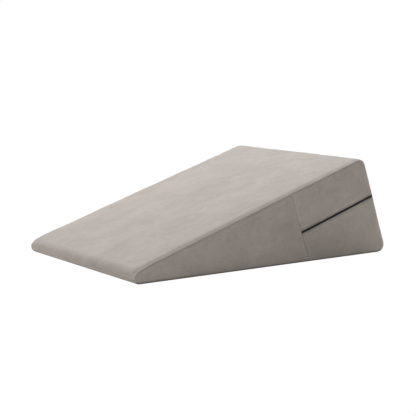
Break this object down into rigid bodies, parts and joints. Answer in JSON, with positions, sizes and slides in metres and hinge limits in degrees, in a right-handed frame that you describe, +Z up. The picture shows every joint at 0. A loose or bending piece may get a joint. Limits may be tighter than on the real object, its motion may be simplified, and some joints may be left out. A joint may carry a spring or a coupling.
{
  "type": "wedge pillow",
  "caption": "Filled bed wedge with a sloping velvet top, a low rounded nose, a tall back and a zip in its rear boxing.",
  "frame": {"origin": "middle of the base, on the surface the pillow stands on", "axes": "+Z up, +Y from the low nose to the tall back, +X across the width, to the right seen from the nose"},
  "size_m": [0.6156, 0.8896, 0.2886],
  "materials": {
    "velvet": "greige brushed velvet with a short soft nap",
    "zip_nylon": "dark blue-black nylon coil, satin"
  },
  "bodies": {
    "root": {"wedge_body": "velvet", "zip_coil": "zip_nylon"}
  },
  "joints": []
}
